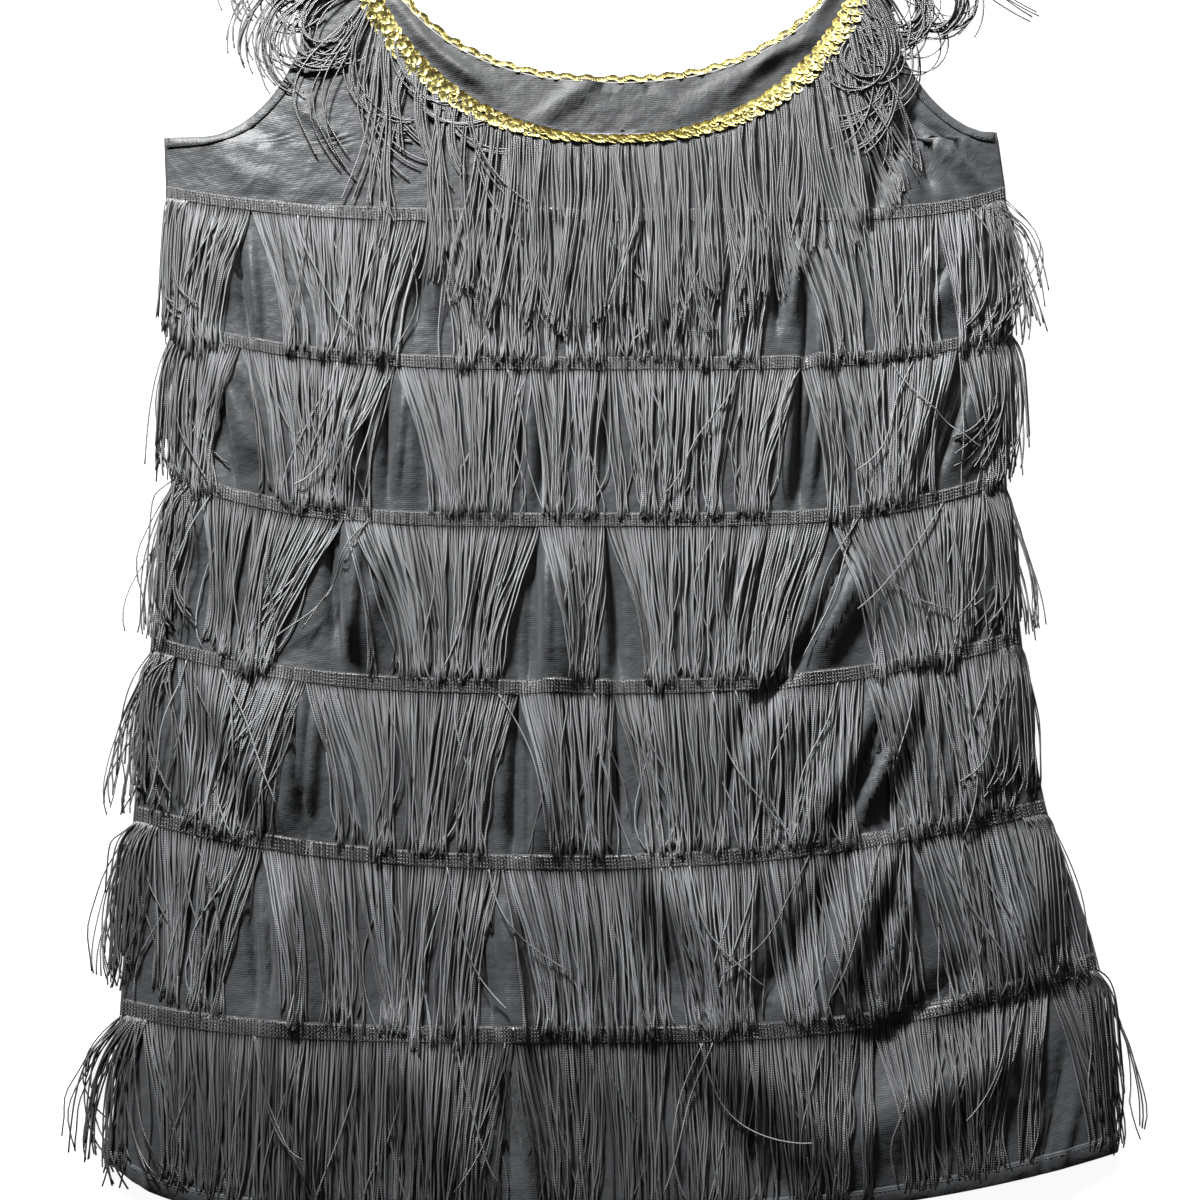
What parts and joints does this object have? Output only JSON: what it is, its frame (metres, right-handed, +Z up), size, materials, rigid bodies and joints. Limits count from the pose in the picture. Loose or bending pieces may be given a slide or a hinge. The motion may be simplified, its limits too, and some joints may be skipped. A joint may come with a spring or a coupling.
{
  "type": "flapper dress",
  "caption": "Sleeveless fringed dress laid flat, front up: two knit panels, tiers of fringe tape and a sequin trim at a scoop neck.",
  "frame": {"origin": "on the back panel's underside, on the middle line of the body between the third and fourth fringe rows", "axes": "+Z up out of the front of the dress, +Y towards the shoulders, +X towards the right of the dress as seen from above"},
  "size_m": [0.5823, 0.8353, 0.0227],
  "materials": {
    "knit": "black polyester knit with a soft satin sheen",
    "fringe": "black chainette yarn on a woven tape",
    "sequins": "metallic gold sequins"
  },
  "bodies": {
    "root": {"back_panel": "knit", "front_panel": "knit", "fringe_row_1": "fringe", "fringe_row_2": "fringe", "fringe_row_3": "fringe", "fringe_row_4": "fringe", "fringe_row_5": "fringe", "fringe_row_6": "fringe", "neck_fringe": "fringe", "front_trim": "sequins", "back_trim": "sequins"}
  },
  "joints": []
}
